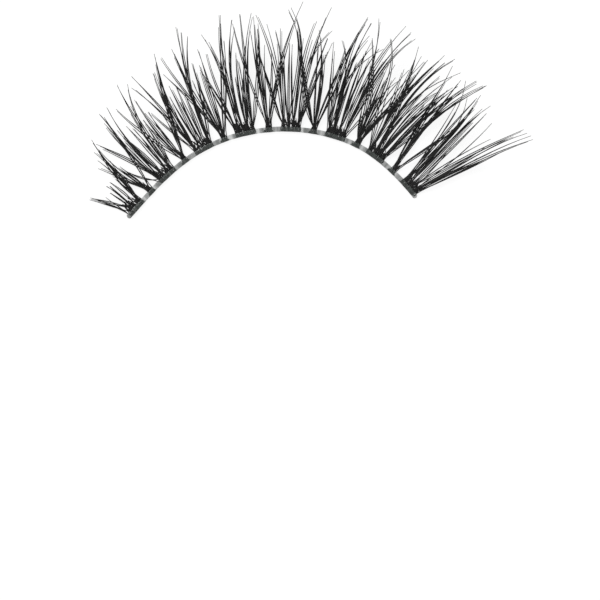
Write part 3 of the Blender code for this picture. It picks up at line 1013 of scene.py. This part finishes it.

# %% [markdown]
# ### From rows to hairs
#
# Each cluster gets a mesh with one vertex for each row, and the tree as its modifier. The seed
# differs between clusters, so that no two look alike. What the modifier makes is then copied to
# a plain mesh and the modifier goes.

# %% Clusters
HAIR_COLUMNS = ("hairs", "side", "rise", "knot", "early", "drift")
SEED_STEP = 10
FAN_SEED = 200


def spike_mesh(name, rows):
    """A mesh with one vertex for each spike and the chart's columns as its attributes."""
    mesh = bpy.data.meshes.new(name)
    mesh.from_pydata([(0.0, 0.0, 0.0)] * len(rows), [], [])
    for column, title in enumerate(CHART_COLUMNS):
        layer = mesh.attributes.new(title, "FLOAT", "POINT")
        layer.data.foreach_set("value", [values[column] for values, hairs in rows])
    layer = mesh.attributes.new("hairs", "INT", "POINT")
    layer.data.foreach_set("value", [hairs for values, hairs in rows])
    return mesh


def give_inputs(modifier, values):
    """Sets a Geometry Nodes modifier's inputs by their sockets' identifiers."""
    for item in modifier.node_group.interface.items_tree:
        if item.item_type == "SOCKET" and item.name in values:
            modifier[item.identifier] = values[item.name]


def plain_mesh(holder):
    """What the object's modifiers make of it, as a plain mesh."""
    bpy.context.view_layer.update()
    graph = bpy.context.evaluated_depsgraph_get()
    return bpy.data.meshes.new_from_object(holder.evaluated_get(graph))


def settle(holder):
    """Turns what the object's modifiers make into its own plain mesh."""
    mesh = plain_mesh(holder)
    holder.modifiers.clear()
    holder.data = mesh
    mesh.name = holder.name
    for name in [layer.name for layer in mesh.attributes if layer.name in CHART_COLUMNS + HAIR_COLUMNS]:
        mesh.attributes.remove(mesh.attributes[name])
    return holder


def grow_cluster(node, middle, rows, seed):
    """Grows one cluster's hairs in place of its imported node."""
    mesh = spike_mesh(node, rows)
    piece = bpy.data.objects.new(node + "_hairs", mesh)
    bpy.context.scene.collection.objects.link(piece)
    modifier = piece.modifiers.new("grow", "NODES")
    modifier.node_group = lash_tree
    give_inputs(modifier, {
        "Guide": guide,
        "Middle": middle,
        "Pitch": TUFT_PITCH,
        "Hair radius": HAIR_RADIUS,
        "Seed": float(seed),
        "Fibre": fibre,
    })
    settle(piece)
    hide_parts(node)
    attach(piece, "root")
    return piece


def grow_all():
    pieces = []
    for number, chart in enumerate(TUFTS_CHART, 1):
        necks = LAST_TUFT_NECKS if number == TUFTS else TUFT_NECKS
        rows = [*chart_rows(chart, necks), *short_rows(necks), *foot_rows(TUFT_FOOT)]
        middle = FIRST_TUFT + (number - 1) * TUFT_PITCH
        pieces.append(grow_cluster(f"lash_tuft_{number}", middle, rows, SEED_STEP * number))
    for number, chart in enumerate(FANS_CHART, 1):
        rows = [*chart_rows(chart, FAN_NECKS), *short_rows(FAN_NECKS), *foot_rows(FAN_FOOT)]
        middle = FIRST_TUFT + (number - 0.5) * TUFT_PITCH
        pieces.append(grow_cluster(f"lash_fan_{number}", middle, rows, FAN_SEED + SEED_STEP * number))
    return pieces


clusters = grow_all()
print("triangles:", sum(sum(len(face.vertices) - 2 for face in piece.data.polygons) for piece in clusters))

# %% [markdown]
# ## The clear band
#
# The band is soft clear plastic, half a millimetre wide, drawn out with slightly uneven edges.
# A row of boxes would show its joints, so one profile is swept along the guide curve between
# the band's ends. It shrinks to a round nub over the last stretch, as the trimmed and sealed
# ends of the real band do. Two numbers stay on it for its finish: how far along a point lies,
# and how far across.

# %% Band section
BAND_WIDTH = 0.52 * MM
BAND_HEIGHT = 0.50 * MM
BAND_SIDES = 24
PROFILE_POWER = 0.55
NUB_LENGTH = 0.26 * MM
NUB_TIP = 0.05


def rounded_profile(tree):
    """A circle drawn out to the band's section: flat below and above, with soft edges."""
    circle = tree.nodes.new("GeometryNodeCurvePrimitiveCircle")
    circle.inputs["Resolution"].default_value = BAND_SIDES
    circle.inputs["Radius"].default_value = 1.0
    place = tree.nodes.new("GeometryNodeInputPosition")
    x, y, _ = parts_of(tree, place.outputs["Position"])
    squared = []
    for value, size in ((x, BAND_WIDTH), (y, BAND_HEIGHT)):
        amount = maths(tree, "POWER", maths(tree, "ABSOLUTE", value), PROFILE_POWER)
        signed = maths(tree, "MULTIPLY", maths(tree, "SIGN", value), amount)
        squared.append(maths(tree, "MULTIPLY", signed, size / 2))
    shaped = tree.nodes.new("GeometryNodeSetPosition")
    feed(tree, shaped.inputs["Geometry"], circle.outputs["Curve"])
    feed(tree, shaped.inputs["Position"], vector_of(tree, squared[0], squared[1], 0.0))
    across = maths(tree, "DIVIDE", squared[0], BAND_WIDTH / 2)
    return store(tree, shaped.outputs["Geometry"], "across", across)


def nub_size(tree, run, whole):
    """The section's size along the run: 1, and down a quarter circle over the last stretch."""
    nearest_end = maths(tree, "MINIMUM", run, maths(tree, "SUBTRACT", whole, run))
    inside = maths(tree, "MINIMUM", maths(tree, "DIVIDE", nearest_end, NUB_LENGTH), 1.0)
    from_full = maths(tree, "SUBTRACT", 1.0, inside)
    circle = maths(tree, "SUBTRACT", 1.0, maths(tree, "MULTIPLY", from_full, from_full))
    return maths(tree, "MAXIMUM", maths(tree, "SQRT", circle), NUB_TIP)


print("band section in mm:", round(BAND_WIDTH / MM, 2), "by", round(BAND_HEIGHT / MM, 2))

# %% [markdown]
# ### The band's own tree
#
# The guide runs on past the band, so it is trimmed to the band's ends, cut into even steps and
# swept. The noise that moves the film's sides by some hundredths of a millimetre reads the
# place of each point. It spares the underside, which has to stay flat.

# %% Band tree
BAND_STEPS = 420
EDGE_WOBBLE = 0.018 * MM
WOBBLE_SCALE = 1500.0


def uneven_film(tree, mesh):
    """Sets the film on the surface and makes its sides and top a little uneven."""
    wobble = tree.nodes.new("ShaderNodeTexNoise")
    wobble.inputs["Scale"].default_value = WOBBLE_SCALE
    amount = maths(tree, "MULTIPLY", maths(tree, "SUBTRACT", wobble.outputs["Fac"], 0.5), 2.0 * EDGE_WOBBLE)
    normal = tree.nodes.new("GeometryNodeInputNormal").outputs["Normal"]
    normal_x, normal_y, normal_z = parts_of(tree, normal)
    push_x = maths(tree, "MULTIPLY", normal_x, amount)
    push_y = maths(tree, "MULTIPLY", normal_y, amount)
    push_up = maths(tree, "MULTIPLY", maths(tree, "MAXIMUM", normal_z, 0.0), amount)
    up = maths(tree, "ADD", push_up, BAND_HEIGHT / 2)
    lifted = tree.nodes.new("GeometryNodeSetPosition")
    feed(tree, lifted.inputs["Geometry"], mesh)
    feed(tree, lifted.inputs["Offset"], vector_of(tree, push_x, push_y, up))
    return lifted.outputs["Geometry"]


def band_tree():
    tree = bpy.data.node_groups.new("draw_band", "GeometryNodeTree")
    tree.interface.new_socket("Guide line", in_out="INPUT", socket_type="NodeSocketGeometry")
    numbers_in(tree, "Start", 0.0)
    numbers_in(tree, "End", 1.0)
    tree.interface.new_socket("Plastic", in_out="INPUT", socket_type="NodeSocketMaterial")
    tree.interface.new_socket("Band", in_out="OUTPUT", socket_type="NodeSocketGeometry")
    given = tree.nodes.new("NodeGroupInput").outputs
    trim = tree.nodes.new("GeometryNodeTrimCurve")
    trim.mode = "LENGTH"
    feed(tree, trim.inputs["Curve"], given["Guide line"])
    # The node keeps a Start and an End for each mode, and those by length come last.
    feed(tree, trim.inputs[4], given["Start"])
    feed(tree, trim.inputs[5], given["End"])
    steps = tree.nodes.new("GeometryNodeResampleCurve")
    feed(tree, steps.inputs["Curve"], trim.outputs["Curve"])
    steps.inputs["Count"].default_value = BAND_STEPS
    run = tree.nodes.new("GeometryNodeSplineParameter").outputs["Length"]
    whole = maths(tree, "SUBTRACT", given["End"], given["Start"])
    line = store(tree, steps.outputs["Curve"], "along", run)
    level = tree.nodes.new("GeometryNodeSetCurveNormal")
    level.mode = "Z_UP"
    feed(tree, level.inputs["Curve"], line)
    swept = tree.nodes.new("GeometryNodeCurveToMesh")
    feed(tree, swept.inputs["Curve"], level.outputs["Curve"])
    feed(tree, swept.inputs["Profile Curve"], rounded_profile(tree))
    feed(tree, swept.inputs["Scale"], nub_size(tree, run, whole))
    swept.inputs["Fill Caps"].default_value = True
    end_tree(tree, uneven_film(tree, swept.outputs["Mesh"]), given["Plastic"])
    return tree


print("the band is swept in steps of, in mm:", round(BAND_LENGTH / (BAND_STEPS - 1) / MM, 3))

# %% [markdown]
# ### Clear plastic on white
#
# Clear plastic doesn't glow. On a white surface it reads as grey, because some light is lost on
# the way through it, and most is lost at its edges. So the film is nearly black and mostly see-
# through: each of its two walls takes from a quarter to over half of the light. A noise drawn out
# along the band makes the streaks of an extruded strip, and where it is thinnest it lifts the
# colour to a light grey: painted glints, highlights painted into the film. Both rims get more
# opacity over the dark tint, and most of all the inner one: painted edge shade for the light that
# is lost at the edges.

# %% Clear plastic
PLASTIC_TINT = (0.050, 0.058, 0.054)
# Painted glints: the light grey the film's colour turns to where the streak noise is high.
PAINTED_GLINT_COLOUR = (0.42, 0.45, 0.43)
STREAK_ALONG = 1.4
STREAK_ACROSS = 2.2
STREAK_DETAIL = 3.0
DENSE_UNTIL = 0.35
PAINTED_GLINT_FROM = 0.55
THIN_FROM = 0.65
PAINTED_GLINT_FULL = 0.74
FILM_ROUGHNESS = 0.16
ALPHA_THIN = 0.24
ALPHA_DENSE = 0.60
# Painted edge shade: more opacity over the near-black tint darkens both rims, and the inner side most.
RIM_SHADE_FROM = 0.70
PAINTED_RIM_SHADE = 0.20
INNER_SHADE_FROM = -0.95
INNER_SHADE_TO = 0.20
PAINTED_INNER_SHADE = 0.52
MOST_ALPHA = 0.92


def band_noise(tree, along_scale, across_scale, detail):
    """A noise in the band's own coordinates, in periods a millimetre along and a width across."""
    along = maths(tree, "MULTIPLY", read_attribute(tree, "along"), along_scale / MM)
    across = maths(tree, "MULTIPLY", read_attribute(tree, "across"), across_scale)
    noise = tree.nodes.new("ShaderNodeTexNoise")
    noise.inputs["Scale"].default_value = 1.0
    noise.inputs["Detail"].default_value = detail
    feed(tree, noise.inputs["Vector"], vector_of(tree, along, across, 0.0))
    return noise.outputs["Fac"]


def make_clear():
    material, tree, shader = plain_material("clear_plastic", PLASTIC_TINT, FILM_ROUGHNESS)
    streak = band_noise(tree, STREAK_ALONG, STREAK_ACROSS, STREAK_DETAIL)
    # The streak noise gives the film's streaks and, at its high end, the painted glint colour.
    colour = colour_ramp(tree, streak, [(PAINTED_GLINT_FROM, PLASTIC_TINT), (PAINTED_GLINT_FULL, PAINTED_GLINT_COLOUR)])
    tree.links.new(colour, shader.inputs["Base Color"])
    body = ease(tree, streak, DENSE_UNTIL, THIN_FROM, ALPHA_DENSE, ALPHA_THIN)
    edge = maths(tree, "ABSOLUTE", read_attribute(tree, "across"))
    # Painted edge shade: the rims, and most of all the inner side, are made darker.
    rim_shade = ease(tree, edge, RIM_SHADE_FROM, 1.0, 0.0, PAINTED_RIM_SHADE)
    inner_shade = ease(tree, read_attribute(tree, "across"), INNER_SHADE_FROM, INNER_SHADE_TO, PAINTED_INNER_SHADE, 0.0)
    whole = maths(tree, "MINIMUM", maths(tree, "ADD", maths(tree, "ADD", body, rim_shade), inner_shade), MOST_ALPHA)
    tree.links.new(whole, shader.inputs["Alpha"])
    return material


def draw_band():
    plastic = make_clear()
    band = guide.copy()
    band.data = guide.data.copy()
    band.name = "clear_band_film"
    bpy.context.scene.collection.objects.link(band)
    modifier = band.modifiers.new("draw", "NODES")
    modifier.node_group = band_tree()
    give_inputs(modifier, {
        "Start": GUIDE_EXTRA,
        "End": GUIDE_EXTRA + BAND_LENGTH,
        "Plastic": plastic,
    })
    mesh = plain_mesh(band)
    bpy.data.objects.remove(band, do_unlink=True)
    film = bpy.data.objects.new("clear_band_film", mesh)
    bpy.context.scene.collection.objects.link(film)
    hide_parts("clear_band")
    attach(film, "root")
    return film


film = draw_band()
bpy.data.objects.remove(guide, do_unlink=True)
heights = [vertex.co.z / MM for vertex in film.data.vertices]
print("band from", round(min(heights), 3), "to", round(max(heights), 3), "mm high")
